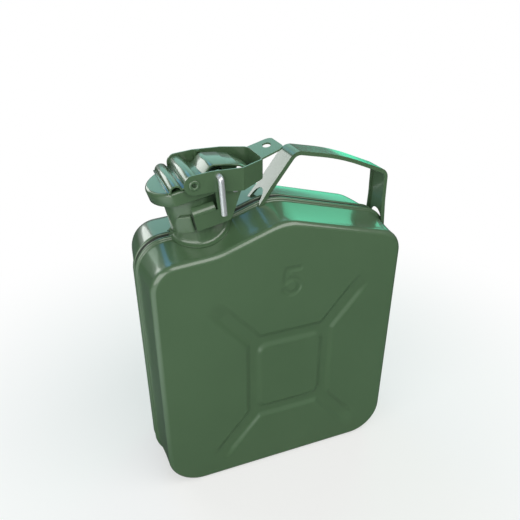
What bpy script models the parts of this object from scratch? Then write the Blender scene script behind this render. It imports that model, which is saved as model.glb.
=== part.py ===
import math

import bmesh
import bpy
from mathutils import Matrix, Vector
from mathutils.bvhtree import BVHTree

for item in list(bpy.data.objects):
    bpy.data.objects.remove(item, do_unlink=True)

# Sizes in metres. The face outline is where the flat faces would meet the walls if nothing were rounded.
half_depth = 0.044
rear_depth = 0.052
half_width = 0.116
base_z = 0.004
shoulder_z = 0.2523
shoulder_slope_share = 0.083
peak_rise = 0.0212
peak_z = shoulder_z + peak_rise
fall_slope_share = 0.262
base_corner = 0.034
right_corner = 0.024
left_corner = 0.023
peak_radius = 0.045
dip_radius = 0.060
face_round = 0.0042
sheet = 0.001
gap = 0.0003
ease_step = 0.0002

# The seam: how far the walls lean out on their way to it, and its rolled edge.
seam_side = 0.006
seam_top = 0.008
front_top_start = 0
front_lean_power = 1.6
rear_top_start = 0.5
rear_lean_power = 0.6
lip_rise = 0.0024
lip_y = 0.0046
lip_half = 0.0021
groove_depth = 0.005
groove_half = 0.0019
seam_half_gap = 0.00015
at_seam = (1, 1)

# The pressed square and its four arms.
relief_x = 0.007
relief_z = 0.116
ring_half_width = 0.045
ring_half_height = 0.0505
pad_half_width = 0.0285
pad_half_height = 0.0335
ring_corner = 0.006
channel_depth = 0.0035
channel_run = 0.0045
arm_start = 0.052
arm_even = 0.096
arm_end = 0.118
arm_floor_half = 0.0045
arm_tip_rise = 0.0004
arm_angle = math.atan2(0.088, 0.073)
cut_over = 0.0015

# The filler neck stands where the ramp begins, and leans to the left.
neck_from_side = 0.05606
neck_x = neck_from_side - half_width
neck_sink = 0.0035
neck_z = shoulder_z - neck_sink
neck_lean = math.radians(12)
neck_radius = 0.0236
neck_wall = 0.0012
neck_inside = -0.006
mouth_height = 0.05553
mouth_flare = 0.0021
mouth_radius = neck_radius + mouth_flare
mouth_round = 0.0016
foot_flare = 0.0040
foot_radius = neck_radius + foot_flare
foot_height = 0.0050
foot_rim = 0.0008
foot_under = 0.0030
hole_radius = neck_radius + gap

breather_radius = 0.004
breather_wall = 0.0008
breather_u = neck_radius - neck_wall - breather_radius - gap
breather_sink = 0.0143
breather_top = mouth_height - breather_sink
breather_drop = -0.0170
breather_bend_radius = 0.010
breather_reach = 0.060
breather_rise_share = 0.14

# The cap and its gasket. Heights are above the neck's foot, along the neck.
cap_rise = 0.0043
cap_top = mouth_height + cap_rise
cap_overhang = 0.0081
cap_radius = mouth_radius + cap_overhang
cap_round = 0.0030
cap_skirt = 0.0115
cap_taper = 0.0008
cap_sheet = 0.0011
cap_flat_clear = 0.0023
cap_flat = mouth_radius + cap_flat_clear
cap_nose_clear = 0.0019
cap_nose = mouth_radius + cap_nose_clear
cap_centre = 0.0020
gasket_thick = 0.0026
gasket_inset = 0.0046
gasket_inner = neck_radius - gasket_inset

# Axes of the closure: the pivot carries the lever and the hinge carries the cap.
pivot_u = 0.0002
pivot_rise = 0.0017
pivot_up = cap_top + pivot_rise
hinge_reach = 0.0042
hinge_u = cap_nose + hinge_reach
hinge_drop = 0.0116
hinge_up = cap_top - hinge_drop
hinge_pin_radius = 0.0025
hinge_clear = 0.00005
pin_head_radius = 0.0038
pin_head_thick = 0.0006

# The ears of the bracket lie between the cap's flats and the lever's plates.
ear_y = cap_flat + gap
ear_sheet = 0.0010

# The bridge over the cap, as points of its upper side in the neck's frame.
bridge_sheet = 0.0015
bridge_wide = ear_y + ear_sheet + ease_step
bridge_narrow = 0.0178
pivot_ear_sheet = 0.0012
bridge_inset = 0.0031
bridge_start_u = bridge_inset - neck_radius
arch_inset = 0.0096
arch_u = arch_inset - neck_radius
arch_rise = 0.0038
arch_half = 0.0052
knuckle_radius = 0.0068
valley_run = 0.0093
valley_u = pivot_u + valley_run
roll_back = 0.0123
roll_u = hinge_u - roll_back
roll_rise = 0.0082
roll_up = cap_top + roll_rise
roll_end_run = 0.0017
roll_end_u = hinge_u + roll_end_run
roll_end_rise = 0.0044
roll_end_up = cap_top + roll_end_rise
tongue_mid_run = 0.0107
tongue_mid_u = hinge_u + tongue_mid_run
tongue_mid_rise = 0.0006
tongue_mid_up = cap_top + tongue_mid_rise
tongue_end_run = 0.0202
tongue_end_u = hinge_u + tongue_end_run
tongue_end_drop = 0.0066
tongue_end_up = cap_top - tongue_end_drop
tongue_tip_run = 0.0217
tongue_tip_u = hinge_u + tongue_tip_run
tongue_tip_drop = 0.0136
tongue_tip_up = cap_top - tongue_tip_drop
cheek_y = 0.0110
cheek_sheet = 0.0015
cheek_round = 0.0036

# The lever. Its lengths run to the right of the pivot, and its heights are above or below the pivot.
lever_sheet = 0.0015
lever_half = bridge_wide + ease_step * 2 + lever_sheet
lever_end_half = 0.0190
lever_rise_run = 0.0145
lever_straight_run = 0.0400
lever_run = 0.0620
lever_eye = 0.0080
lever_top_up = 0.0096
lever_low_down = 0.0072
lever_dip_down = 0.0092
lever_wall_down = 0.0060
lever_wall_up = 0.0106
lever_corner = 0.0030
tab_half = 0.0180
tab_tip_half = 0.0160
tab_run = 0.0810
tab_up = 0.0110
tab_slope_share = 0.34
tab_corner = 0.0060
tab_hole_run = 0.0725
tab_hole_y = 0.0030
tab_hole_long = 0.0056
tab_hole_wide = 0.0034

rivet_radius = 0.0026
rivet_bore = 0.0013
rivet_head_radius = 0.0043
rivet_head_thick = 0.0012
rivet_clear = 0.00005

# The bright locking pin on the near plate.
lock_radius = 0.0024
lock_bend = 0.0032
lock_back = 0.0112
lock_u = hinge_u - lock_back
lock_rise = 0.0026
lock_up = cap_top + lock_rise
lock_leg = 0.0310
lock_out = 0.0052
lock_inside_share = 0.9
lock_hole_clear = 0.0003
lock_clear = 0.00005
lock_leg_lean_share = 0.06

# The bracket round the handle side of the neck.
bracket_clear = 0.0034
bracket_nose_u = neck_radius + bracket_clear
bracket_low = 0.0228
bracket_high = 0.0352
bracket_side_u = -0.0070
band_sheet = 0.0016
ear_round = 0.0056
ear_foot_round = 0.0060
ear_foot_u = 0.0190
ear_foot_up = 0.0287
ear_lobe_round = 0.0044
bracket_nose_round = 0.0120
lip_in = 0.0045
lip_up = 0.0062
lip_right_u = 0.0120
lug_from = math.radians(108)
lug_to = math.radians(144)
lug_low = 0.0207
lug_high = 0.0354
lug_proud = 0.0030

# The strap handle, as points of its outer side seen from the front. It stands over the middle of the body,
# behind the seam, and its legs widen towards their feet.
strap_half = 0.0125
strap_back = 0.0040
strap_flare = 0.0030
strap_flare_run = 0.0380
strap_sheet = 0.0016
strap_flange = 0.0036
strap_foot_run = 0.0366
strap_foot_x = neck_x + strap_foot_run
strap_foot_drop = 0.0134
strap_foot_z = peak_z - strap_foot_drop
strap_left_run = 0.0818
strap_left_x = neck_x + strap_left_run
strap_left_rise = 0.0467
strap_left_z = peak_z + strap_left_rise
strap_right_out = 0.0007
strap_right_x = half_width + strap_right_out
strap_right_rise = 0.0175
strap_right_z = peak_z + strap_right_rise
strap_mid_back = 0.0495
strap_mid_x = strap_right_x - strap_mid_back
strap_mid_rise = 0.0379
strap_mid_z = peak_z + strap_mid_rise
strap_end_out = 0.0017
strap_end_x = half_width + strap_end_out
strap_end_drop = 0.0497
strap_end_z = peak_z - strap_end_drop
strap_left_bend = 0.0110
strap_mid_bend = 0.2000
strap_right_bend = 0.0095
fork_half = 0.0098
fork_left_rise = 0.0127
fork_left_z = peak_z + fork_left_rise
fork_right_drop = 0.0230
fork_right_z = peak_z - fork_right_drop

arc_steps = 8
small_steps = 4
round_steps = 42
rod_steps = 16
two = 2

# Colour, metallic share and roughness of each finish
paint = ((0.075, 0.16, 0.075, 1), 0, 0.35)
bright = ((0.62, 0.62, 0.60, 1), 1, 0.3)
black = ((0.02, 0.02, 0.02, 1), 0, 0.6)

neck_frame = Matrix.Translation((neck_x, 0, neck_z)) @ Matrix.Rotation(-neck_lean, 4, "Y")


def material(name, colour, metallic, roughness):
    made = bpy.data.materials.new(name)
    made.use_nodes = True
    shader = made.node_tree.nodes["Principled BSDF"]
    shader.inputs["Base Color"].default_value = colour
    shader.inputs["Metallic"].default_value = metallic
    shader.inputs["Roughness"].default_value = roughness
    return made


def build(name, points, faces):
    """One mesh object with its faces turned outwards."""
    mesh = bpy.data.meshes.new(name)
    mesh.from_pydata([tuple(p) for p in points], [], faces)
    made = bpy.data.objects.new(name, mesh)
    bpy.context.scene.collection.objects.link(made)
    work = bmesh.new()
    work.from_mesh(mesh)
    bmesh.ops.recalc_face_normals(work, faces=work.faces)
    if work.calc_volume(signed=True) < 0:
        bmesh.ops.reverse_faces(work, faces=work.faces)
    work.to_mesh(mesh)
    work.free()
    return made


def loft(name, loops, ring=False):
    """A closed form through loops of equal length. A ring joins its last loop to its first."""
    count = len(loops[0])
    points = [p for loop in loops for p in loop]
    faces = []
    for i in range(len(loops) if ring else len(loops) - 1):
        a, b = i * count, (i + 1) % len(loops) * count
        for j in range(count):
            k = (j + 1) % count
            faces.append((a + j, a + k, b + k, b + j))
    if not ring:
        faces.append(tuple(range(count)))
        faces.append(tuple(range(len(points) - count, len(points))))
    return build(name, points, faces)


def boolean(target, tool, operation, keep=False):
    """Applies an exact Boolean, and removes the tool."""
    step = target.modifiers.new(operation.lower(), "BOOLEAN")
    step.operation = operation
    step.solver = "EXACT"
    step.object = tool
    graph = bpy.context.evaluated_depsgraph_get()
    done = bpy.data.meshes.new_from_object(target.evaluated_get(graph))
    target.modifiers.clear()
    target.data = done
    if not keep:
        bpy.data.objects.remove(tool, do_unlink=True)


def finish(made, look, origin=(0, 0, 0), angle=math.radians(32)):
    """Gives the piece its own material, its shading and its origin on the joint's axis."""
    made.data.materials.clear()
    made.data.materials.append(material(made.name, *look))
    made.data.transform(Matrix.Translation(-Vector(origin)))
    made.location = origin
    made.data.shade_smooth()
    made.data.set_sharp_from_angle(angle=angle)


def placed(frame, points):
    return [frame @ Vector(p) for p in points]


def arc(cx, cz, radius, start, end, steps):
    """Points of an arc in a plane, both ends among them."""
    return [
        (cx + radius * math.cos(a), cz + radius * math.sin(a))
        for a in (start + (end - start) * i / steps for i in range(steps + 1))
    ]


def rounded(path, radii, steps, closed):
    """A polyline with its corners turned into arcs of the given radii."""
    out = []
    count = len(path)
    for i, here in enumerate(path):
        if not closed and i in (0, count - 1):
            out.append(here)
            continue
        p = Vector(here)
        a = (Vector(path[i - 1]) - p).normalized()
        b = (Vector(path[(i + 1) % count]) - p).normalized()
        if not radii[i]:
            out.append(here)
            continue
        half = a.angle(b) / two
        reach = radii[i] / math.tan(half)
        middle = p + (a + b).normalized() * (radii[i] / math.sin(half))
        start, end = p + a * reach - middle, p + b * reach - middle
        turn = start.angle_signed(end)
        for j in range(steps + 1):
            t = -turn * j / steps
            out.append(
                (
                    middle.x + start.x * math.cos(t) - start.y * math.sin(t),
                    middle.y + start.x * math.sin(t) + start.y * math.cos(t),
                )
            )
    return out


def thick_line(path, thickness):
    """The outline of a strip that lies to the right of its path."""
    other = []
    for i, here in enumerate(path):
        p = Vector(here)
        before = (p - Vector(path[i - 1])).normalized() if i else None
        after = (Vector(path[i + 1]) - p).normalized() if i < len(path) - 1 else None
        before, after = before or after, after or before
        along = (before + after).normalized()
        side = Vector((along.y, -along.x))
        other.append(tuple(p + side * (thickness / max(side.dot(Vector((after.y, -after.x))), 0.5))))
    return list(path) + other[::-1]


def slab(name, outline, near, far, frame=Matrix.Identity(4)):
    """A flat outline of (u, n) drawn out along y."""
    return loft(name, [placed(frame, [(u, y, n) for u, n in outline]) for y in (near, far)])


def turned(name, profile, steps, frame):
    """A ring turned about the frame's upright axis from a closed profile of (radius, height)."""
    loops = []
    for i in range(steps):
        a = math.tau * i / steps
        loops.append(placed(frame, [(r * math.cos(a), r * math.sin(a), h) for r, h in profile]))
    return loft(name, loops, ring=True)


def solid_turned(name, profile, steps, frame):
    """A solid turned from an open profile whose ends are near the axis."""
    loops = []
    for r, h in profile:
        loops.append(
            placed(
                frame,
                [(r * math.cos(a), r * math.sin(a), h) for a in (math.tau * i / steps for i in range(steps))],
            )
        )
    return loft(name, loops)


def facing(point, direction):
    """A frame at a point with its upright axis along a direction."""
    return Matrix.Translation(point) @ Vector(direction).to_track_quat("Z", "Y").to_matrix().to_4x4()


def swept(name, path, radius, steps, inner=0):
    """A rod, or a tube where inner is given, along a path of points in space."""
    points = [Vector(p) for p in path]
    frames = []
    side = None
    for i, p in enumerate(points):
        along = (points[min(i + 1, len(points) - 1)] - points[max(i - 1, 0)]).normalized()
        if side is None:
            side = along.orthogonal().normalized()
        side = (side - along * side.dot(along)).normalized()
        frames.append((p, side, along.cross(side)))

    def ring(frame, r):
        p, a, b = frame
        return [
            p + a * (r * math.cos(math.tau * i / steps)) + b * (r * math.sin(math.tau * i / steps))
            for i in range(steps)
        ]

    loops = [ring(frame, radius) for frame in frames]
    if not inner:
        return loft(name, loops)
    loops += [ring(frame, inner) for frame in frames[::-1]]
    return loft(name, loops, ring=True)


def face_outline(side, top, base):
    """The body's outline in (x, z), each edge moved out by its own amount."""
    ramp = math.atan(peak_rise / -neck_x)
    fall = math.atan(fall_slope_share)
    shoulder = math.atan(shoulder_slope_share)
    edges = [
        ((0, base_z), (0, -1), base, base_corner),
        ((half_width, 0), (1, 0), side, right_corner),
        ((0, peak_z), (math.sin(fall), math.cos(fall)), top, peak_radius),
        ((0, peak_z), (-math.sin(ramp), math.cos(ramp)), top, -dip_radius),
        ((neck_x, shoulder_z), (-math.sin(shoulder), math.cos(shoulder)), top, left_corner),
        ((-half_width, 0), (-1, 0), side, base_corner),
    ]
    out = []
    for i, (point, normal, shift, radius) in enumerate(edges):
        point2, normal2, shift2, _ = edges[(i + 1) % len(edges)]
        n1, n2 = Vector(normal), Vector(normal2)
        d1 = n1.dot(Vector(point)) + shift
        d2 = n2.dot(Vector(point2)) + shift2
        det = n1.x * n2.y - n1.y * n2.x
        corner = Vector(((d1 * n2.y - d2 * n1.y) / det, (n1.x * d2 - n2.x * d1) / det))
        r = radius + (shift + shift2) / two
        middle = corner - (n1 + n2) * (r / (1 + n1.dot(n2)))
        turn = math.atan2(det, n1.dot(n2))
        steps = arc_steps if abs(turn) > 1 else small_steps
        for j in range(steps + 1):
            t = turn * j / steps
            way = Vector((n1.x * math.cos(t) - n1.y * math.sin(t), n1.x * math.sin(t) + n1.y * math.cos(t)))
            out.append(tuple(middle + way * r))
    return out


def wall_level(shares, extra, bead=0):
    """The outline at a share of the way to the seam. The base stays flat: its rolled edge only turns in."""
    side, top = shares
    return face_outline(
        side * (seam_side - lip_rise) + bead + extra,
        top * (seam_top - lip_rise) + bead + extra,
        min(bead, 0) + extra,
    )


def leaning(lean, share):
    """How far out the sides and the top lean at a share of the way to the seam."""
    start, power = lean
    return share**power, start + (1 - start) * share**power


def outer_levels(deep, lean, more=0):
    """A half's outside, from the face to the seam, as (y, outline)."""
    levels = []
    for i in range(small_steps + 1):
        a = math.pi / two * i / small_steps
        levels.append(
            (-(deep - face_round + face_round * math.cos(a)) - more * math.cos(a),
             wall_level(leaning(lean, 0), -face_round + (face_round + more) * math.sin(a)))
        )
    lip = lip_half + more
    edge = lip_y + lip
    top = deep - face_round
    for i in range(1, small_steps + 1):
        share = i / small_steps
        levels.append((-(top + (edge - top) * share), wall_level(leaning(lean, share), more)))
    for i in range(1, arc_steps - 1):
        a = math.pi * i / arc_steps
        levels.append((-(lip_y + lip * math.cos(a)), wall_level(at_seam, more, lip_rise * math.sin(a))))
    levels.append((more - groove_half, wall_level(at_seam, more, lip_rise - groove_depth)))
    levels.append((-seam_half_gap, wall_level(at_seam, more, lip_rise - groove_depth)))
    return levels


def inner_levels(deep, lean):
    """A half's inside, from the seam to the face."""
    top = deep - face_round
    edge = lip_y + lip_half
    floor = lip_rise - groove_depth
    levels = [(-y, wall_level(at_seam, -sheet, floor)) for y in (seam_half_gap, groove_half + sheet)]
    levels.append((-lip_y, wall_level(at_seam, -sheet)))
    for i in range(small_steps, 0, -1):
        share = i / small_steps
        levels.append((-(top + (edge - top) * share), wall_level(leaning(lean, share), -sheet)))
    for i in range(small_steps, -1, -1):
        a = math.pi / two * i / small_steps
        levels.append(
            (-(deep - face_round + (face_round - sheet) * math.cos(a)),
             wall_level(leaning(lean, 0), -face_round + (face_round - sheet) * math.sin(a)))
        )
    return levels


def at_y(levels):
    return [[(x, y, z) for x, z in outline] for y, outline in levels]


def square(half_w, half_h, radius):
    path = [(-half_w, -half_h), (half_w, -half_h), (half_w, half_h), (-half_w, half_h)]
    return rounded(path, [radius] * len(path), small_steps, True)


def relief_ring(name, deep, grow, roof, floor):
    """The square channel as one ring. Its roof and floor are depths below the face."""
    loops = []
    for depth, inner in ((roof, False), (floor, False), (floor, True), (roof, True)):
        run = channel_run * depth / channel_depth
        if inner:
            w, h = pad_half_width + run - grow, pad_half_height + run - grow
            radius = ring_corner
        else:
            w, h = ring_half_width - run + grow, ring_half_height - run + grow
            radius = ring_corner
        loops.append([(relief_x + x, depth - deep, relief_z + z) for x, z in square(w, h, radius)])
    return loft(name, loops, ring=True)


def relief_arm(name, deep, angle, grow, roof, extra):
    """One arm of the pressed cross, which fades out at its tip."""
    loops = []
    for s, depth in ((arm_start, channel_depth), (arm_even, channel_depth), (arm_end, -arm_tip_rise)):
        floor_half = arm_floor_half + grow
        roof_half = floor_half + channel_run * (depth + extra - roof) / channel_depth
        along = Vector((math.cos(angle), math.sin(angle)))
        across = Vector((-along.y, along.x))
        centre = Vector((relief_x, relief_z)) + along * s
        low = depth + extra
        loop = []
        for half, d in ((-roof_half, roof), (-floor_half, low), (floor_half, low), (roof_half, roof)):
            p = centre + across * half
            loop.append((p.x, d - deep, p.y))
        loops.append(loop)
    return loft(name, loops)


arm_angles = (arm_angle, math.pi - arm_angle, math.pi + arm_angle, -arm_angle)

# The two shells. Both are shaped in front of the seam, and the rear one is then mirrored.
wall_mid = sheet / two
shells = []
front_lean = (front_top_start, front_lean_power)
rear_lean = (rear_top_start, rear_lean_power)
for name, deep, lean in (("front_shell", half_depth, front_lean), ("rear_shell", rear_depth, rear_lean)):
    shell = loft(name, at_y(outer_levels(deep, lean) + inner_levels(deep, lean)))
    boolean(shell, relief_ring("boss", deep, sheet, wall_mid, channel_depth + sheet), "UNION")
    for angle in arm_angles:
        boolean(shell, relief_arm("boss", deep, angle, sheet, wall_mid, sheet), "UNION")
    boolean(shell, relief_ring("cut", deep, 0, -cut_over, channel_depth), "DIFFERENCE")
    for angle in arm_angles:
        boolean(shell, relief_arm("cut", deep, angle, 0, -cut_over, 0), "DIFFERENCE")
    shells.append(shell)
front, rear = shells
rear.data.transform(Matrix.Scale(-1, 4, (0, 1, 0)))
rear.data.flip_normals()
hole_ends = [(hole_radius, neck_inside * two), (hole_radius, mouth_height)]
hole = solid_turned("hole", hole_ends, round_steps, neck_frame)
boolean(front, hole, "DIFFERENCE", keep=True)
boolean(rear, hole, "DIFFERENCE")
finish(front, paint)
finish(rear, paint)

# A form just outside both shells, which shapes whatever stands on them
whole = at_y(outer_levels(half_depth, front_lean, gap))
behind = at_y(outer_levels(rear_depth, rear_lean, gap))
whole += [[(x, -y, z) for x, y, z in loop] for loop in behind[::-1]]
body_form = loft("body_form", whole)
body_form.hide_render = True
body_form.display_type = "WIRE"

# The filler neck: a tube with a rolled mouth and a flared foot
surface = BVHTree.FromObject(body_form, bpy.context.evaluated_depsgraph_get())
down = -(neck_frame.to_3x3() @ Vector((0, 0, 1)))
foot_loops = []
for i in range(round_steps):
    a = math.tau * (i + 1 / two) / round_steps
    x, y = math.cos(a), math.sin(a)
    above = neck_frame @ Vector((foot_radius * x, foot_radius * y, mouth_height))
    low = mouth_height - surface.ray_cast(above, down)[3]
    profile = [(neck_radius - neck_wall / two, low - foot_under), (foot_radius, low - foot_under)]
    for j in range(small_steps + 1):
        t = math.pi / two * j / small_steps
        rise = foot_rim + (foot_height - foot_rim) * (1 - math.cos(t))
        profile.append((foot_radius - (foot_radius - neck_radius) * math.sin(t), low + rise))
    profile.append((neck_radius - neck_wall / two, low + foot_height))
    foot_loops.append(placed(neck_frame, [(r * x, r * y, h) for r, h in profile]))
foot = loft("filler_neck", foot_loops, ring=True)
boolean(foot, body_form, "DIFFERENCE", keep=True)
roll_centre = mouth_radius - mouth_round
tube_profile = [(neck_radius - neck_wall, neck_inside), (neck_radius, neck_inside)]
tube_profile += [(neck_radius, mouth_height - mouth_round * two - (roll_centre - neck_radius))]
roll_low = mouth_height - mouth_round
tube_inner = neck_radius - neck_wall
tube_profile += arc(roll_centre, roll_low, mouth_round, -math.pi / two, math.pi / two, arc_steps)
tube_profile += [(tube_inner + mouth_round, mouth_height), (tube_inner, roll_low)]
tube = turned("tube", tube_profile, round_steps, neck_frame)
boolean(foot, tube, "UNION")
finish(foot, paint)

# The breather tube inside the neck
drop = [(breather_u, 0, breather_top), (breather_u, 0, breather_drop)]
world = [neck_frame @ Vector(p) for p in drop]
corner = world[1]
reach = Vector((breather_reach, 0, breather_reach * breather_rise_share))
flat = rounded(
    [(world[0].x, world[0].z), (corner.x, corner.z), (corner.x + reach.x, corner.z + reach.z)],
    [0, breather_bend_radius, 0],
    arc_steps,
    False,
)
breather_path = [(x, 0, z) for x, z in flat]
breather = swept("breather_tube", breather_path, breather_radius, rod_steps, breather_radius - breather_wall)
finish(breather, bright)


# The cap, with flats beside the pivots, and the rubber ring inside it
def cap_loop(radius, height, flat):
    loop = []
    nose = cap_nose - (cap_flat - flat)
    for i in range(round_steps):
        a = math.tau * i / round_steps
        y = max(-flat, min(flat, radius * math.sin(a)))
        loop.append((min(nose, radius * math.cos(a)), y, height))
    return placed(neck_frame, loop)


inside = cap_flat - cap_sheet
cap_levels = [(cap_centre, cap_top - cap_sheet, inside), (cap_radius - cap_round, cap_top - cap_sheet, inside)]
cap_levels += [(cap_radius - cap_sheet, cap_top - cap_round, inside)]
cap_levels += [(cap_radius - cap_sheet - cap_taper, cap_top - cap_skirt, inside)]
cap_levels += [(cap_radius - cap_taper, cap_top - cap_skirt, cap_flat)]
for r, n in arc(cap_radius - cap_round, cap_top - cap_round, cap_round, 0, math.pi / two, small_steps):
    cap_levels.append((r, n, cap_flat - (cap_radius - r)))
cap_levels += [(cap_centre, cap_top, cap_flat)]
cap = loft("cap", [cap_loop(*level) for level in cap_levels])

gasket_high = cap_top - cap_sheet - gap
gasket_low = gasket_high - gasket_thick
gasket = turned(
    "cap_gasket",
    [
        (gasket_inner, gasket_low),
        (cap_nose - cap_sheet - gap, gasket_low),
        (cap_nose - cap_sheet - gap, gasket_high),
        (gasket_inner, gasket_high),
    ],
    round_steps,
    neck_frame,
)

# Axes of the closure in space
pivot = neck_frame @ Vector((pivot_u, 0, pivot_up))
hinge = neck_frame @ Vector((hinge_u, 0, hinge_up))
lock = neck_frame @ Vector((lock_u, 0, lock_up))


def across(name, centre, radius, near, far, steps=rod_steps):
    """A round bar along y through a centre."""
    loops = [
        [(centre.x + radius * math.cos(a), y, centre.z + radius * math.sin(a))
         for a in (math.tau * i / steps for i in range(steps))]
        for y in (near, far)
    ]
    return loft(name, loops)


# The bridge over the cap
seat = cap_top + gap + bridge_sheet
arch_radius = (arch_half**2 + arch_rise**2) / (two * arch_rise)
arch_open = math.asin(arch_half / arch_radius)
knuckle_low = math.asin((seat - pivot_up) / knuckle_radius)
wide_path = [(bridge_start_u, seat)]
wide_path += arc(arch_u, seat + arch_rise - arch_radius, arch_radius,
                 math.pi / two + arch_open, math.pi / two - arch_open, small_steps)
wide_path += arc(pivot_u, pivot_up, knuckle_radius, math.pi - knuckle_low, knuckle_low, arc_steps)
wide_path += [(valley_u, seat)]
bridge = slab("cap_bridge", thick_line(wide_path, bridge_sheet), -bridge_wide, bridge_wide, neck_frame)
narrow_path = rounded(
    [
        (pivot_u + knuckle_radius + gap, seat + gap),
        (valley_u + bridge_sheet, seat + gap),
        (roll_u, roll_up),
        (roll_end_u, roll_end_up),
        (tongue_mid_u, tongue_mid_up),
        (tongue_end_u, tongue_end_up),
        (tongue_tip_u, tongue_tip_up),
    ],
    [0, bridge_sheet * two, arch_half, arch_half, arch_half, arch_half, 0],
    small_steps,
    False,
)
narrow = slab("narrow", thick_line(narrow_path, bridge_sheet), -bridge_narrow, bridge_narrow, neck_frame)
boolean(bridge, narrow, "UNION")
for side in (-1, 1):
    low = pivot_up - knuckle_radius + bridge_sheet
    half = knuckle_radius - bridge_sheet / two
    outline = [(pivot_u - half, pivot_up)] + arc(pivot_u, pivot_up, half, math.pi, math.tau, arc_steps)[1:-1]
    outline += [(pivot_u + half, pivot_up)] + arc(pivot_u, pivot_up, half, 0, math.pi, arc_steps)[1:-1]
    ends = sorted((side * (bridge_wide - pivot_ear_sheet), side * (bridge_wide + ease_step)))
    boolean(bridge, slab("ear", outline, *ends, neck_frame), "UNION")
    near, far = sorted((side * cheek_y, side * (cheek_y + cheek_sheet)))
    cheek = [(hinge_u - cheek_round, hinge_up)]
    cheek += arc(hinge_u, hinge_up, cheek_round, math.pi, math.tau, arc_steps)[1:-1]
    cheek += [(hinge_u + cheek_round, hinge_up), (tongue_mid_u, tongue_mid_up - bridge_sheet / two)]
    slope = (roll_end_up - roll_up) / (roll_end_u - roll_u)
    cheek += [(roll_end_u, roll_end_up - bridge_sheet / two)]
    fall = slope * (hinge_u - cheek_round - roll_end_u)
    cheek += [(hinge_u - cheek_round, roll_end_up - bridge_sheet / two + fall)]
    boolean(bridge, slab("cheek", cheek, near, far, neck_frame), "UNION")
long = bridge_wide * two
boolean(bridge, across("bore", pivot, rivet_radius + rivet_clear, -long, long), "DIFFERENCE")
boolean(bridge, across("bore", hinge, hinge_pin_radius + hinge_clear, -long, long), "DIFFERENCE")

# The lever: plates, end wall and thumb tab
near_side = []
for i in range(1, arc_steps + 1):
    a = math.pi - math.pi / two * i / arc_steps
    rise = lever_eye * math.sin(a)
    near_side.append((pivot.x + lever_eye * math.cos(a), -lever_half, pivot.z - rise, pivot.z + rise))
lever_end_x = pivot.x + lever_run
wall = (pivot.z - lever_wall_down, pivot.z + lever_wall_up)
near_side += [
    (pivot.x + lever_rise_run, -lever_half, pivot.z - lever_low_down, pivot.z + lever_top_up),
    (pivot.x + lever_straight_run, -lever_half, pivot.z - lever_dip_down, pivot.z + lever_top_up),
    (lever_end_x - lever_corner, -lever_end_half - lever_corner / two, *wall),
    (lever_end_x - lever_corner / two / two, -lever_end_half + lever_corner / two, *wall),
    (lever_end_x, -lever_end_half + lever_corner * two, *wall),
]
stations = near_side + [(x, -y, low, top) for x, y, low, top in near_side[::-1]]
plan = thick_line([(x, y) for x, y, _, _ in stations], -lever_sheet)
inner_plan = plan[len(stations):][::-1]
loops = [
    [(x, y, low), (x, y, top), (ix, iy, top), (ix, iy, low)]
    for (x, y, low, top), (ix, iy) in zip(stations, inner_plan)
]
lever = loft("lever", loops)
tab_root = lever_end_x - lever_sheet
tab_plan = rounded(
    [
        (tab_root, -tab_half),
        (pivot.x + tab_run, -tab_tip_half),
        (pivot.x + tab_run, tab_tip_half),
        (tab_root, tab_half),
    ],
    [0, tab_corner, tab_corner, 0],
    small_steps,
    False,
)


def on_tab(x, y, up):
    return (x, y, pivot.z + tab_up + (x - tab_root) * tab_slope_share + up)


tab = loft("tab", [[on_tab(x, y, up) for x, y in tab_plan] for up in (-lever_sheet, 0)])
boolean(lever, tab, "UNION")
oval = [
    (pivot.x + tab_hole_run + tab_hole_wide * math.cos(a), tab_hole_y + tab_hole_long * math.sin(a))
    for a in (math.tau * i / rod_steps for i in range(rod_steps))
]
punch = loft("hole", [[on_tab(x, y, up) for x, y in oval] for up in (-lever_half, lever_half)])
boolean(lever, punch, "DIFFERENCE")
boolean(lever, across("bore", pivot, rivet_radius + rivet_clear, -long, long), "DIFFERENCE")
boolean(lever, across("bore", lock, lock_radius + lock_clear, -long, 0), "DIFFERENCE")

# Hollow rivets and the hinge pin
for name, side in (("pivot_rivet_near", -1), ("pivot_rivet_far", 1)):
    start = bridge_wide - pivot_ear_sheet
    under = lever_half + rivet_clear
    over = under + rivet_head_thick
    ease = rivet_head_thick / two
    profile = [(rivet_bore, start), (rivet_radius, start), (rivet_radius, under), (rivet_head_radius, under)]
    profile += [(rivet_head_radius, over - ease), (rivet_head_radius - ease, over), (rivet_bore + ease, over)]
    profile += [(rivet_bore, over - ease)]
    rivet = turned(name, profile, rod_steps, facing((pivot.x, 0, pivot.z), (0, side, 0)))
    finish(rivet, paint, (pivot.x, 0, pivot.z))

pin_end = ear_y + ear_sheet + hinge_clear
shaft_end = pin_end + pin_head_thick / two
pin = across("hinge_pin", hinge, hinge_pin_radius, -shaft_end, shaft_end)
for side in (-1, 1):
    ends = sorted((side * pin_end, side * (pin_end + pin_head_thick * two / 3)))
    boolean(pin, across("head", hinge, pin_head_radius, *ends), "UNION")
finish(pin, bright)

# The locking pin: through the near plate, out, and down
tip_y = -(lever_half - lever_sheet * lock_inside_share)
elbow_y = -(lever_half + lock_out)
side_path = rounded(
    [(tip_y, lock.z), (elbow_y, lock.z), (elbow_y, lock.z - lock_leg)],
    [0, lock_bend, 0],
    arc_steps,
    False,
)
locking = swept(
    "locking_pin",
    [(lock.x + (lock.z - z) * lock_leg_lean_share, y, z) for y, z in side_path],
    lock_radius,
    rod_steps,
)

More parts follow.
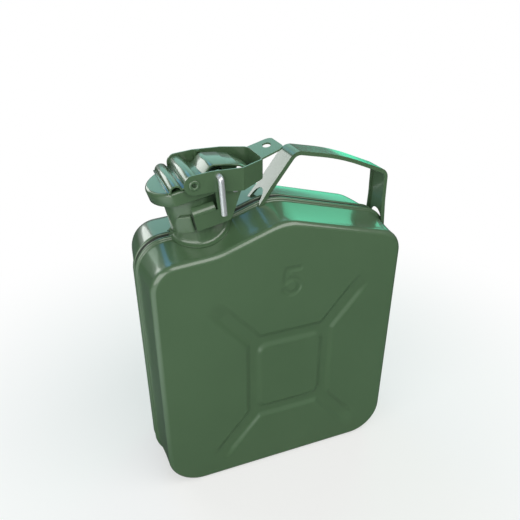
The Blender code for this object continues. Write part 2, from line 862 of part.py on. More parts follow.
# The bracket that carries the hinge, open to the left and closed round the neck's handle side
band_y = ear_y + ear_sheet / two + band_sheet / two
plan_outer = rounded(
    [
        (bracket_side_u, -band_y),
        (bracket_nose_u, -band_y),
        (bracket_nose_u, band_y),
        (bracket_side_u, band_y),
    ],
    [0, bracket_nose_round, bracket_nose_round, 0],
    arc_steps,
    False,
)
plan = thick_line(plan_outer, -band_sheet)
band = [placed(neck_frame, [(u, y, n) for u, y in plan]) for n in (bracket_low, bracket_high)]
bracket = loft("hinge_bracket", band)
for side in (-1, 1):
    lobes = ((hinge_u, hinge_up, ear_round), (lock_u, lock_up, ear_lobe_round))
    lobes += ((ear_foot_u, ear_foot_up, ear_foot_round),)
    near, far = sorted((side * ear_y, side * (ear_y + ear_sheet)))
    work = bmesh.new()
    for u, n, r in lobes:
        for uu, nn in arc(u, n, r, 0, math.tau, rod_steps)[:-1]:
            for y in (near, far):
                work.verts.new(neck_frame @ Vector((uu, y, nn)))
    bmesh.ops.convex_hull(work, input=work.verts)
    loose = [v for v in work.verts if not v.link_faces]
    bmesh.ops.delete(work, geom=loose, context="VERTS")
    bmesh.ops.recalc_face_normals(work, faces=work.faces)
    mesh = bpy.data.meshes.new("ear")
    work.to_mesh(mesh)
    work.free()
    ear = bpy.data.objects.new("ear", mesh)
    bpy.context.scene.collection.objects.link(ear)
    boolean(bracket, ear, "UNION")
    outer = side * (ear_y + ear_sheet)
    inner = side * ear_y
    lip = [
        (outer, bracket_high - band_sheet),
        (outer, bracket_high + ease_step),
        (outer - side * lip_in, bracket_high + lip_up),
        (inner - side * lip_in, bracket_high + lip_up - ear_sheet / two),
        (inner, bracket_high - band_sheet),
    ]
    loops = [placed(neck_frame, [(u, y, n) for y, n in lip]) for u in (bracket_side_u + ease_step, lip_right_u)]
    boolean(bracket, loft("lip", loops), "UNION")
boolean(bracket, across("bore", hinge, hinge_pin_radius + hinge_clear, -long, long), "DIFFERENCE")
boolean(bracket, across("bore", lock, lock_radius + lock_hole_clear, -long, long), "DIFFERENCE")
finish(bracket, paint)

# Lugs on the neck's sides for a spout's hooks
for name, side in (("spout_lug_near", -1), ("spout_lug_far", 1)):
    loops = []
    inner_r, outer_r = neck_radius + gap, neck_radius + gap + lug_proud
    ease = lug_proud
    for i in range(arc_steps + 1):
        a = side * (lug_from + (lug_to - lug_from) * i / arc_steps)
        left = i - arc_steps + 3
        top = lug_high - (ease * left * left / 4 if left > 0 else 0)
        loops.append(
            placed(
                neck_frame,
                [(r * math.cos(a), r * math.sin(a), n) for r, n in
                 ((inner_r, lug_low), (outer_r, lug_low), (outer_r, top), (inner_r, top))],
            )
        )
    finish(loft(name, loops), paint)

# The strap handle
corners = [
    Vector((strap_foot_x, strap_foot_z)),
    Vector((strap_left_x, strap_left_z)),
    Vector((strap_mid_x, strap_mid_z)),
    Vector((strap_right_x, strap_right_z)),
    Vector((strap_end_x, strap_end_z)),
]
flares = [
    corners[i] + (corners[j] - corners[i]).normalized() * strap_flare_run
    for i, j in ((0, 1), (-1, -2))
]
strap_path = rounded(
    [tuple(p) for p in (corners[0], flares[0], *corners[1:-1], flares[1], corners[-1])],
    [0, 0, strap_left_bend, strap_mid_bend, strap_right_bend, 0, 0],
    arc_steps,
    False,
)
depths = [0, strap_sheet, strap_flange]
runs = {d: thick_line(strap_path, d)[len(strap_path):][::-1] if d else strap_path for d in depths}
loops = []
for i in range(len(strap_path)):
    w = strap_half + (strap_flare if i in (0, len(strap_path) - 1) else 0)
    v = w - strap_sheet
    section = [(-w, 0), (w, 0), (w, strap_flange), (v, strap_flange), (v, strap_sheet), (-v, strap_sheet),
               (-v, strap_flange), (-w, strap_flange)]
    loops.append([(runs[d][i][0], y + strap_back, runs[d][i][1]) for y, d in section])
handle = loft("handle", loops)
boolean(handle, body_form, "DIFFERENCE", keep=True)


def arch_cutter(name, low, high, start, end):
    """A round-topped opening drawn along x."""
    outline = [(-fork_half, low)] + arc(0, high - fork_half, fork_half, math.pi, 0, arc_steps) + [(fork_half, low)]
    return loft(name, [[(x, y + strap_back, z) for y, z in outline] for x in (start, end)])


for ends in ((strap_foot_z - strap_half, fork_left_z, strap_foot_x * two, strap_left_x),
             (strap_end_z - strap_half, fork_right_z, strap_mid_x, strap_end_x * two)):
    boolean(handle, arch_cutter("fork", *ends), "DIFFERENCE")
finish(handle, paint)

finish(cap, paint, hinge)
finish(gasket, black, hinge)
finish(bridge, paint, hinge)
finish(lever, paint, pivot)
finish(locking, bright, (lock.x, 0, lock.z))

# The origin goes to the middle of the base, though the two halves differ in depth
to_base = Vector((0, (half_depth - rear_depth) / two, -base_z))
for made in bpy.data.objects:
    made.location += to_base
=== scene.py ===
import math

import bmesh
import bpy
from mathutils import Matrix, Vector


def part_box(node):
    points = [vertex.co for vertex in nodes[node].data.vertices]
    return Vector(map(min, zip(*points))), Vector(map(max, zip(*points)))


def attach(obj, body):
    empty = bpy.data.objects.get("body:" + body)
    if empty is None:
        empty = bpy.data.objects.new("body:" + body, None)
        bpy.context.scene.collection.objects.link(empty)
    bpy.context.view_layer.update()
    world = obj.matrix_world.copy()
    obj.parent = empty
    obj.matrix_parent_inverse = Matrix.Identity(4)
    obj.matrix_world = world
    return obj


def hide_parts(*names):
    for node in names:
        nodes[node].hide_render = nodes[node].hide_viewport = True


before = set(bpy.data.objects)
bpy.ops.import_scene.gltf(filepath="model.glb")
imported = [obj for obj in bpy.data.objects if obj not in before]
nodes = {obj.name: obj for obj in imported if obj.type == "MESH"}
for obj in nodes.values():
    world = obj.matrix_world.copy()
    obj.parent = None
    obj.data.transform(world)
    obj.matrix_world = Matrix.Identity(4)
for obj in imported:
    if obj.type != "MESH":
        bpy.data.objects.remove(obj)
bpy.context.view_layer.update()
print("frame loaded,", len(nodes), "nodes")


# A shader node with its own settings first and its input values after
def newNode(tree, kind, inputs=None, **settings):
    node = tree.nodes.new("ShaderNode" + kind)
    for word, value in settings.items():
        setattr(node, word, value)
    for socket, value in (inputs or {}).items():
        node.inputs[socket].default_value = value
    return node


# Shader groups that the materials share
def newGroup(name, inputs, outputs):
    group = bpy.data.node_groups.new(name, "ShaderNodeTree")
    for label, kind, value in inputs:
        socket = group.interface.new_socket(label, in_out="INPUT", socket_type=kind)
        socket.default_value = value
    for label, kind in outputs:
        group.interface.new_socket(label, in_out="OUTPUT", socket_type=kind)
    return group, group.nodes.new("NodeGroupInput"), group.nodes.new("NodeGroupOutput")


noises = {"cloudDetail": 3, "grainDetail": 2, "slowScale": 14, "middle": 0.5}


# Slow drift between two tones of one colour
# A colour mix takes its share at input 0 and its colours at 6 and 7, and gives its result at output 2
def cloudyTone():
    group, given, made = newGroup(
        "cloudyTone",
        [
            ("Dark", "NodeSocketColor", (0, 0, 0, 1)),
            ("Light", "NodeSocketColor", (1, 1, 1, 1)),
            ("Scale", "NodeSocketFloat", 8),
        ],
        [("Color", "NodeSocketColor")],
    )
    place = newNode(group, "TexCoord")
    noise = newNode(group, "TexNoise", {"Detail": noises["cloudDetail"]})
    blend = newNode(group, "Mix", data_type="RGBA")
    link = group.links.new
    link(place.outputs["Object"], noise.inputs["Vector"])
    link(given.outputs["Scale"], noise.inputs["Scale"])
    link(noise.outputs["Fac"], blend.inputs[0])
    link(given.outputs["Dark"], blend.inputs[6])
    link(given.outputs["Light"], blend.inputs[7])
    link(blend.outputs[2], made.inputs["Color"])
    return group


# A fine uneven surface, as a normal and as a roughness that varies a little
def fineGrain():
    group, given, made = newGroup(
        "fineGrain",
        [
            ("Scale", "NodeSocketFloat", 900),
            ("Depth", "NodeSocketFloat", 0.00002),
            ("Roughness", "NodeSocketFloat", 0.3),
            ("Spread", "NodeSocketFloat", 0.06),
        ],
        [("Roughness", "NodeSocketFloat"), ("Normal", "NodeSocketVector")],
    )
    place = newNode(group, "TexCoord")
    noise = newNode(group, "TexNoise", {"Detail": noises["grainDetail"]})
    bump = newNode(group, "Bump", {"Strength": 1})
    slow = newNode(group, "TexNoise", {"Scale": noises["slowScale"]})
    centred = newNode(group, "Math", {1: noises["middle"]}, operation="SUBTRACT")
    rough = newNode(group, "Math", operation="MULTIPLY_ADD")
    link = group.links.new
    link(place.outputs["Object"], noise.inputs["Vector"])
    link(place.outputs["Object"], slow.inputs["Vector"])
    link(given.outputs["Scale"], noise.inputs["Scale"])
    link(noise.outputs["Fac"], bump.inputs["Height"])
    link(given.outputs["Depth"], bump.inputs["Distance"])
    link(slow.outputs["Fac"], centred.inputs[0])
    link(centred.outputs[0], rough.inputs[0])
    link(given.outputs["Spread"], rough.inputs[1])
    link(given.outputs["Roughness"], rough.inputs[2])
    link(rough.outputs[0], made.inputs["Roughness"])
    link(bump.outputs["Normal"], made.inputs["Normal"])
    return group


toneGroup = cloudyTone()
grainGroup = fineGrain()

# Paint, plating, rubber, and a painted shade colour for the faces deep in the seam
enamel = {
    "dark": (0.060, 0.118, 0.056, 1),
    "light": (0.080, 0.150, 0.074, 1),
    "toneScale": 9,
    "roughness": 0.30,
    "grainScale": 900,
    "grainDepth": 0.00002,
    "metallic": 0,
    "coat": 1,
    "coatRoughness": 0.12,
}
zinc = {
    "dark": (0.63, 0.648, 0.684, 1),
    "light": (0.70, 0.72, 0.76, 1),
    "toneScale": 60,
    "roughness": 0.24,
    "grainScale": 500,
    "grainDepth": 0.00002,
    "metallic": 0.6,
}
rubber = {
    "dark": (0.018, 0.018, 0.018, 1),
    "light": (0.0288, 0.0288, 0.0288, 1),
    "toneScale": 40,
    "roughness": 0.62,
    "grainScale": 1400,
    "grainDepth": 0.00003,
    "metallic": 0,
}
# Painted shade: a dark green that stands in for the shadow deep in the seam groove
groove = {
    "dark": (0.0096, 0.01888, 0.00896, 1),
    "light": (0.018, 0.0354, 0.0168, 1),
    "toneScale": 20,
    "roughness": 0.6,
    "grainScale": 900,
    "grainDepth": 0.00002,
    "metallic": 0,
}


def newMaterial(name, words):
    look = bpy.data.materials.new(name)
    look.use_nodes = True
    tree = look.node_tree
    shader = tree.nodes["Principled BSDF"]
    shader.inputs["Metallic"].default_value = words["metallic"]
    tone = newNode(tree, "Group", node_tree=toneGroup)
    grain = newNode(tree, "Group", node_tree=grainGroup)
    for socket, word in {"Dark": "dark", "Light": "light", "Scale": "toneScale"}.items():
        tone.inputs[socket].default_value = words[word]
    for socket, word in {"Scale": "grainScale", "Depth": "grainDepth", "Roughness": "roughness"}.items():
        grain.inputs[socket].default_value = words[word]
    tree.links.new(tone.outputs["Color"], shader.inputs["Base Color"])
    tree.links.new(grain.outputs["Roughness"], shader.inputs["Roughness"])
    tree.links.new(grain.outputs["Normal"], shader.inputs["Normal"])
    return look


greenEnamel = newMaterial("greenEnamel", enamel)
enamelInputs = greenEnamel.node_tree.nodes["Principled BSDF"].inputs
enamelInputs["Coat Weight"].default_value = enamel["coat"]
enamelInputs["Coat Roughness"].default_value = enamel["coatRoughness"]
brightZinc = newMaterial("brightZinc", zinc)
blackRubber = newMaterial("blackRubber", rubber)
paintedGrooveShade = newMaterial("paintedGrooveShade", groove)
print("materials made")

# What all mesh work shares: distances in metres, angles in degrees
meshing = {
    "weld": 0.000001,
    "cadWeld": 0.00001,
    "flatBelow": 0.6,
    "easeAbove": 28,
    "splitAbove": 40,
    "easedSplitAbove": 50,
    "slabRimSteps": 3,
    "easedRimSteps": 2,
}


def placeMesh(name, mesh, look):
    mesh.materials.append(look)
    piece = bpy.data.objects.new(name, mesh)
    bpy.context.scene.collection.objects.link(piece)
    return piece


def newPiece(name, points, faces, look):
    mesh = bpy.data.meshes.new(name)
    mesh.from_pydata([tuple(p) for p in points], [], faces)
    return placeMesh(name, mesh, look)


def meshPiece(name, work, look, splitAbove):
    mesh = bpy.data.meshes.new(name)
    work.to_mesh(mesh)
    work.free()
    piece = placeMesh(name, mesh, look)
    mesh.shade_smooth()
    mesh.set_sharp_from_angle(angle=math.radians(splitAbove))
    return piece


# Puts a finer piece in the place of one CAD node
def standIn(piece, node, body):
    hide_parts(node)
    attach(piece, body)


# Joins each ring of vertices to the next by faces of four corners
def joinRings(work, rings):
    made = []
    for a, b in zip(rings, rings[1:]):
        for j in range(len(a)):
            k = (j + 1) % len(a)
            made.append(work.faces.new([a[j], a[k], b[k], b[j]]))
    return made


def roundEdges(work, edges, ease, steps):
    bmesh.ops.bevel(
        work, geom=edges, offset=ease, offset_type="OFFSET", segments=steps, profile=0.5, affect="EDGES",
        clamp_overlap=True,
    )


def arcPoints(cx, cz, radius, start, end, steps):
    angles = [math.radians(start + (end - start) * i / steps) for i in range(steps + 1)]
    return [(cx + radius * math.cos(a), cz + radius * math.sin(a)) for a in angles]


# Where the neck's axis meets the shoulder, its lean to the left, and the room that the halves leave for it
neck = {"foot": (-0.05994, -0.004, 0.2448), "lean": 12, "clear": 0.0232, "below": 0.02}
neckAxis = Vector((-math.sin(math.radians(neck["lean"])), 0, math.cos(math.radians(neck["lean"]))))

# A frame along the neck: right across it, to the rear, and up along it
neckFrame = Matrix.Translation(neck["foot"]) @ Matrix.Rotation(-math.radians(neck["lean"]), 4, "Y")


def insideNeck(point):
    away = point - Vector(neck["foot"])
    high = away.dot(neckAxis)
    return high > -neck["below"] and (away - neckAxis * high).length < neck["clear"]


def alongNeck(points):
    return [neckFrame @ Vector(p) for p in points]


# The two pressed shells; both step counts run from the bottom right corner round, one for each bend and the
# straight stretch after it
canBody = {
    "seamY": -0.004,
    "halfWidth": 0.116,
    "shoulder": (-0.05994, 0.2483),
    "shoulderSlope": 0.083,
    "rampSlope": 0.35369,
    "peakZ": 0.2695,
    "fallSlope": 0.262,
    "baseCorner": 0.034,
    "rightCorner": 0.024,
    "leftCorner": 0.023,
    "peakRadius": 0.045,
    "dipRadius": 0.060,
    "bendSteps": (28, 22, 10, 8, 22, 28),
    "edgeSteps": (120, 60, 16, 14, 120, 110),
    "faceRound": 0.0042,
    "creasePower": 1.35,
    "leanSide": 0.0036,
    "leanTop": 0.0056,
    "frontLean": {"topStart": 0, "power": 1.6},
    "rearLean": {"topStart": 0.5, "power": 0.6},
    "lipRise": 0.0024,
    "lipY": 0.0046,
    "lipHalf": 0.0021,
    "grooveDepth": 0.005,
    "grooveHalf": 0.0019,
    "seamHalfGap": 0.00015,
    "sheet": 0.0009,
    "cell": 0.0014,
    "wallSteps": 14,
    "roundSteps": 9,
    "lipSteps": 12,
}
relief = {
    "centre": (0.007, 0.112),
    "outer": (0.045, 0.0505),
    "pad": (0.0285, 0.0335),
    "corner": 0.006,
    "depth": 0.0026,
    "run": 0.0058,
    "armAngle": math.atan2(0.088, 0.073),
    "armStart": 0.050,
    "armEven": 0.096,
    "armEnd": 0.118,
    "armFloor": 0.0042,
}

# A plain figure five: its top and stem are shares of its width and height, and its bowl turns in degrees
mark = {
    "place": (-0.0005, 0.1985),
    "width": 0.0140,
    "height": 0.0250,
    "stroke": 0.0016,
    "soft": 0.0012,
    "depth": 0.0010,
    "margin": 0.006,
    "stemShares": ((1, 1), (0.12, 1), (0.04, 0.54)),
    "bowlShares": {"middle": 0.47, "half": 0.53, "high": 0.31},
    "bowlTurn": (142, -160),
    "bowlSteps": 12,
}


# The body's outline in (x, z), each edge moved out by its own amount
def shellOutline(side, top, base):
    ramp, fall = math.atan(canBody["rampSlope"]), math.atan(canBody["fallSlope"])
    shoulder = math.atan(canBody["shoulderSlope"])
    peak = (0, canBody["peakZ"])
    edges = [
        ((0, 0), (0, -1), base, canBody["baseCorner"]),
        ((canBody["halfWidth"], 0), (1, 0), side, canBody["rightCorner"]),
        (peak, (math.sin(fall), math.cos(fall)), top, canBody["peakRadius"]),
        (peak, (-math.sin(ramp), math.cos(ramp)), top, -canBody["dipRadius"]),
        (canBody["shoulder"], (-math.sin(shoulder), math.cos(shoulder)), top, canBody["leftCorner"]),
        ((-canBody["halfWidth"], 0), (-1, 0), side, canBody["baseCorner"]),
    ]
    bends = []
    for i, (point, normal, shift, radius) in enumerate(edges):
        point2, normal2, shift2, _ = edges[(i + 1) % len(edges)]
        n1, n2 = Vector(normal), Vector(normal2)
        d1, d2 = n1.dot(Vector(point)) + shift, n2.dot(Vector(point2)) + shift2
        det = n1.x * n2.y - n1.y * n2.x
        corner = Vector(((d1 * n2.y - d2 * n1.y) / det, (n1.x * d2 - n2.x * d1) / det))
        r = radius + (shift + shift2) / 2
        middle = corner - (n1 + n2) * (r / (1 + n1.dot(n2)))
        bends.append((middle, n1, r, math.atan2(det, n1.dot(n2))))
    out = []
    for i, (middle, n1, r, turn) in enumerate(bends):
        bendSteps, edgeSteps = canBody["bendSteps"][i], canBody["edgeSteps"][i]
        for j in range(bendSteps + 1):
            t = turn * j / bendSteps
            way = Vector((n1.x * math.cos(t) - n1.y * math.sin(t), n1.x * math.sin(t) + n1.y * math.cos(t)))
            out.append(middle + way * r)
        nextMiddle, nextNormal, nextR, _ = bends[(i + 1) % len(bends)]
        here, there = out[-1], nextMiddle + nextNormal * nextR
        out += [here.lerp(there, j / edgeSteps) for j in range(1, edgeSteps)]
    return out


def wallLevel(lean, share, extra, bead=0):
    reach = share ** lean["power"]
    return shellOutline(
        reach * canBody["leanSide"] + bead + extra,
        (lean["topStart"] + (1 - lean["topStart"]) * reach) * canBody["leanTop"] + bead + extra,
        min(bead, 0) + extra,
    )


# A half's outside from the edge of its face to the seam, as (depth in front of the seam, outline)
def shellLevels(deep, lean):
    levels = []
    rounding, power = canBody["faceRound"], canBody["creasePower"]
    for i in range(canBody["roundSteps"] + 1):
        a = math.pi / 2 * i / canBody["roundSteps"]
        ahead = rounding * max(0, math.cos(a)) ** power
        inward = rounding * (math.sin(a) ** power - 1)
        levels.append((deep - rounding + ahead, wallLevel(lean, 0, inward)))
    edge, top = canBody["lipY"] + canBody["lipHalf"], deep - rounding
    for i in range(1, canBody["wallSteps"] + 1):
        share = i / canBody["wallSteps"]
        levels.append((top + (edge - top) * share, wallLevel(lean, share, 0)))
    for i in range(1, canBody["lipSteps"] - 1):
        a = math.pi * i / canBody["lipSteps"]
        bead = canBody["lipRise"] * math.sin(a)
        levels.append((canBody["lipY"] + canBody["lipHalf"] * math.cos(a), wallLevel(lean, 1, 0, bead)))
    floor = canBody["lipRise"] - canBody["grooveDepth"]
    levels.append((canBody["grooveHalf"], wallLevel(lean, 1, 0, floor)))
    levels.append((canBody["seamHalfGap"], wallLevel(lean, 1, 0, floor)))
    return levels


def smooth(t):
    t = max(0, min(1, t))
    return t * t * (3 - 2 * t)


# How far a point lies outside a square with round corners; negative inside
def squareDistance(x, z, half, corner):
    dx, dz = abs(x) - half[0] + corner, abs(z) - half[1] + corner
    return math.hypot(max(dx, 0), max(dz, 0)) + min(max(dx, dz), 0) - corner


# How deep the pressed square and its four arms lie below the face
def reliefDepth(x, z):
    x, z = x - relief["centre"][0], z - relief["centre"][1]
    run = relief["run"]
    outside = squareDistance(x, z, relief["outer"], relief["corner"])
    inside = squareDistance(x, z, relief["pad"], relief["corner"])
    depth = relief["depth"] * smooth(-outside / run) * smooth(inside / run)
    angle = relief["armAngle"]
    along = abs(x) * math.cos(angle) + abs(z) * math.sin(angle)
    across = abs(-abs(x) * math.sin(angle) + abs(z) * math.cos(angle))
    if along > relief["armStart"]:
        fade = 1 - (along - relief["armEven"]) / (relief["armEnd"] - relief["armEven"])
        arm = relief["depth"] * smooth(fade) * smooth((relief["armFloor"] + run - across) / run)
        depth = max(depth, arm)
    return depth


# The strokes of the figure, as short straight runs
def markLines():
    w, h = mark["width"], mark["height"]
    bowl = mark["bowlShares"]
    high = h * bowl["high"]
    points = [(w * u, h * v) for u, v in mark["stemShares"]]
    for c, s in arcPoints(0, 0, 1, *mark["bowlTurn"], mark["bowlSteps"]):
        points.append((w * bowl["middle"] + w * bowl["half"] * c, high + high * s))
    return list(zip(points, points[1:]))


markRuns = markLines()


def markDepth(x, z):
    x, z = x - mark["place"][0], z - mark["place"][1]
    margin = mark["margin"]
    if not (-margin < x < mark["width"] + margin and -margin < z < mark["height"] + margin):
        return 0
    near = 1
    for (ax, az), (bx, bz) in markRuns:
        lx, lz = bx - ax, bz - az
        t = max(0, min(1, ((x - ax) * lx + (z - az) * lz) / (lx * lx + lz * lz)))
        near = min(near, math.hypot(x - ax - lx * t, z - az - lz * t))
    return mark["depth"] * smooth((mark["stroke"] + mark["soft"] - near) / mark["soft"])


# A half's points and faces: its wall by levels, its face by rings that shrink to the middle of the relief
def shellMesh(levels, deep, side, marked):
    rim = levels[0][1]
    count = len(rim)
    centre = Vector(relief["centre"])
    reach = max((p - centre).length for p in rim)
    rings = int(reach / canBody["cell"])
    points, faces = [], []
    for depth, outline in reversed(levels):
        points += [(p.x, side * depth, p.y) for p in outline]
    for k in range(rings - 1, 0, -1):
        for p in rim:
            q = centre + (p - centre) * (k / rings)
            sunk = reliefDepth(q.x, q.y)
            if marked:
                sunk = max(sunk, markDepth(q.x, q.y))
            points.append((q.x, side * (deep - sunk), q.y))
    points.append((centre.x, side * deep, centre.y))
    loops = len(levels) + rings - 1
    for i in range(loops - 1):
        for j in range(count):
            k = (j + 1) % count
            faces.append((i * count + j, i * count + k, (i + 1) * count + k, (i + 1) * count + j))
    last = (loops - 1) * count
    faces += [(last + j, last + (j + 1) % count, len(points) - 1) for j in range(count)]
    return [(x, y + canBody["seamY"], z) for x, y, z in points], faces


# One half of the can, open where the neck stands, with its inner side left to a modifier
def shellPiece(name, node, deep, lean, side, marked):
    levels = shellLevels(deep, lean)
    points, faces = shellMesh(levels, deep, side, marked)
    piece = newPiece(name, points, faces, greenEnamel)
    piece.data.materials.append(paintedGrooveShade)
    work = bmesh.new()
    work.from_mesh(piece.data)
    work.faces.ensure_lookup_table()
    # The groove floor and walls at the seam take the painted shade colour
    for face in work.faces[:2 * len(levels[0][1])]:
        face.material_index = 1
    mouth = [f for f in work.faces if insideNeck(f.calc_center_median())]
    bmesh.ops.delete(work, geom=mouth, context="FACES")
    bmesh.ops.recalc_face_normals(work, faces=work.faces)
    sample = max(work.faces, key=lambda f: side * f.calc_center_median().y)
    if sample.normal.y * side < 0:
        bmesh.ops.reverse_faces(work, faces=work.faces)
    work.to_mesh(piece.data)
    work.free()
    piece.data.shade_smooth()
    thick = piece.modifiers.new("sheet", "SOLIDIFY")
    thick.thickness = canBody["sheet"]
    thick.offset = -1
    standIn(piece, node, "can")


frontDepth = canBody["seamY"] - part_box("front_shell")[0].y
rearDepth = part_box("rear_shell")[1].y - canBody["seamY"]
shellPiece("frontHalf", "front_shell", frontDepth, canBody["frontLean"], -1, True)
shellPiece("rearHalf", "rear_shell", rearDepth, canBody["rearLean"], 1, False)
print("shells pressed")


# A polyline whose inner corners turn into arcs of one radius each
def bentPath(corners, radii, steps):
    out = [corners[0]]
    for before, here, after, radius in zip(corners, corners[1:], corners[2:], radii):
        p = Vector(here)
        a, b = (Vector(before) - p).normalized(), (Vector(after) - p).normalized()
        half = a.angle(b) / 2
        reach = radius / math.tan(half)
        middle = p + (a + b).normalized() * (radius / math.sin(half))
        start, end = p + a * reach - middle, p + b * reach - middle
        turn = start.angle_signed(end)
        for j in range(steps + 1):
            t = -turn * j / steps
            out.append((
                middle.x + start.x * math.cos(t) - start.y * math.sin(t),
                middle.y + start.x * math.sin(t) + start.y * math.cos(t),
            ))
    return out + [corners[-1]]


# The outline of a sheet that lies under its path
def sheetOutline(path, thickness):
    under = []
    for i, here in enumerate(path):
        before = Vector(here) - Vector(path[i - 1]) if i else Vector(path[1]) - Vector(here)
        after = Vector(path[i + 1]) - Vector(here) if i < len(path) - 1 else before
        along = (before.normalized() + after.normalized()).normalized()
        side = Vector((along.y, -along.x))
        spread = max(0.5, side.dot(Vector((after.normalized().y, -after.normalized().x))))
        under.append(tuple(Vector(here) + side * (thickness / spread)))
    return list(path) + under[::-1]


# Draws an outline of (right, up) out from front to back, with its rims rounded off
def addSlab(work, outline, near, far, ease):
    rings = [[work.verts.new(p) for p in alongNeck([(u, y, n) for u, n in outline])] for y in (near, far)]
    sides = joinRings(work, rings)
    ends = [work.faces.new(rings[0]), work.faces.new(rings[1][::-1])]
    bmesh.ops.recalc_face_normals(work, faces=sides + ends)
    roundEdges(work, list({edge for face in ends for edge in face.edges}), ease, meshing["slabRimSteps"])


# The cap: a pressed lid with flats beside the lever's plates and at the hinge
cap = {
    "top": 0.05983,
    "radius": 0.0338,
    "round": 0.0030,
    "skirt": 0.0115,
    "taper": 0.0008,
    "sheet": 0.0011,
    "flat": 0.0280,
    "nose": 0.0276,
    "centre": 0.0020,
    "steps": 144,
    "roundSteps": 10,
    "rimLip": 0.0004,
}


def capLoop(radius, height, flat):
    nose = cap["nose"] - (cap["flat"] - flat)
    loop = []
    for i in range(cap["steps"]):
        a = math.tau * i / cap["steps"]
        across = max(-flat, min(flat, radius * math.sin(a)))
        loop.append((min(nose, radius * math.cos(a)), across, height))
    return alongNeck(loop)


def makeCap():
    top, radius, bend, flat, lip = cap["top"], cap["radius"], cap["round"], cap["flat"], cap["rimLip"]
    inner, low, under = flat - cap["sheet"], top - cap["skirt"], top - cap["sheet"]
    outside, inside = radius - cap["taper"], radius - cap["sheet"] - cap["taper"]
    levels = [  # from the middle of the underside, down inside the skirt and up outside it
        (cap["centre"], under, inner),
        (radius - bend, under, inner),
        (radius - cap["sheet"], top - bend, inner),
        (inside, low + lip, inner),
        (inside + lip, low, inner + lip),
        (outside - lip, low, flat - lip),
        (outside, low + lip, flat),
    ]
    for r, n in arcPoints(radius - bend, top - bend, bend, 0, 90, cap["roundSteps"]):
        levels.append((r, n, flat - (radius - r)))
    levels.append((cap["centre"], top, flat))
    work = bmesh.new()
    rings = [[work.verts.new(p) for p in capLoop(*level)] for level in levels]
    joinRings(work, rings)
    work.faces.new(rings[0][::-1])
    work.faces.new(rings[-1])
    bmesh.ops.remove_doubles(work, verts=work.verts, dist=meshing["weld"])
    bmesh.ops.recalc_face_normals(work, faces=work.faces)
    standIn(meshPiece("pressedCap", work, greenEnamel, meshing["splitAbove"]), "cap", "closure")


makeCap()


# The bridge over the cap: one bent sheet, wide at the pivots and narrow over the hinge
bridge = {
    "gap": 0.0003,
    "sheet": 0.0015,
    "wide": 0.0295,
    "narrow": 0.0178,
    "startU": -0.0205,
    "archU": -0.0140,
    "archRise": 0.0038,
    "archHalf": 0.0052,
    "pivot": (0.0002, 0.06153),
    "knuckle": 0.0068,
    "valleyU": 0.0095,
    "roll": (0.0195, 0.06803),
    "rollEnd": (0.0335, 0.06423),
    "tongueMid": (0.0425, 0.06043),
    "tongueEnd": (0.0520, 0.05323),
    "tongueTip": (0.0535, 0.04623),
    "hinge": (0.0318, 0.04823),
    "cheekY": 0.0110,
    "cheekRound": 0.0036,
    "earSheet": 0.0012,
    "earOut": 0.0002,
    "ease": 0.0004,
    "steps": 14,
}
bridgeSeat = cap["top"] + bridge["gap"] + bridge["sheet"]


# The wide plate, from its left edge over the arch and the round back at the pivots to the valley
def platePath():
    b = bridge
    pu, pn = b["pivot"]
    archRadius = (b["archHalf"] ** 2 + b["archRise"] ** 2) / (2 * b["archRise"])
    archMiddle = bridgeSeat + b["archRise"] - archRadius
    archOpen = math.degrees(math.asin(b["archHalf"] / archRadius))
    knuckleLow = math.degrees(math.asin((bridgeSeat - pn) / b["knuckle"]))
    path = [(b["startU"], bridgeSeat)]
    path += arcPoints(b["archU"], archMiddle, archRadius, 90 + archOpen, 90 - archOpen, b["steps"])
    path += arcPoints(pu, pn, b["knuckle"], 180 - knuckleLow, knuckleLow, b["steps"] * 2)
    return path + [(b["valleyU"], bridgeSeat)]


# The narrow tongue, from the round back over the roll and down beyond the hinge
def tonguePath():
    b = bridge
    high = bridgeSeat + b["gap"]
    corners = [
        (b["pivot"][0] + b["knuckle"] + b["gap"], high), (b["valleyU"] + b["sheet"], high), b["roll"],
        b["rollEnd"], b["tongueMid"], b["tongueEnd"], b["tongueTip"],
    ]
    return bentPath(corners, [b["sheet"] * 2] + [b["archHalf"]] * 4, b["steps"])


# A cheek under the tongue, which turns on the hinge pin
def cheekOutline():
    b = bridge
    hu, hn = b["hinge"]
    left, skin = hu - b["cheekRound"], b["sheet"] / 2
    slope = (b["rollEnd"][1] - b["roll"][1]) / (b["rollEnd"][0] - b["roll"][0])
    return arcPoints(hu, hn, b["cheekRound"], 180, 360, b["steps"]) + [
        (b["tongueMid"][0], b["tongueMid"][1] - skin),
        (b["rollEnd"][0], b["rollEnd"][1] - skin),
        (left, b["rollEnd"][1] - skin + slope * (left - b["rollEnd"][0])),
    ]


def makeBridge():
    b = bridge
    ear = arcPoints(*b["pivot"], b["knuckle"] - b["sheet"] / 2, 0, 360, b["steps"] * 3)[:-1]
    work = bmesh.new()
    addSlab(work, sheetOutline(platePath(), b["sheet"]), -b["wide"], b["wide"], b["ease"])
    addSlab(work, sheetOutline(tonguePath(), b["sheet"]), -b["narrow"], b["narrow"], b["ease"])
    for side in (-1, 1):
        earEnds = sorted((side * (b["wide"] - b["earSheet"]), side * (b["wide"] + b["earOut"])))
        addSlab(work, ear, *earEnds, b["ease"])
        cheekEnds = sorted((side * b["cheekY"], side * (b["cheekY"] + b["sheet"])))
        addSlab(work, cheekOutline(), *cheekEnds, b["ease"])
    standIn(meshPiece("bentBridge", work, greenEnamel, meshing["splitAbove"]), "cap_bridge", "closure")


makeBridge()
print("cap and bridge bent")

# The two hollow rivets, each with a rolled head
rivet = {"hollow": 0.0017, "shank": 0.00256, "head": 0.0043, "thick": 0.0012, "steps": 48, "rollSteps": 12}


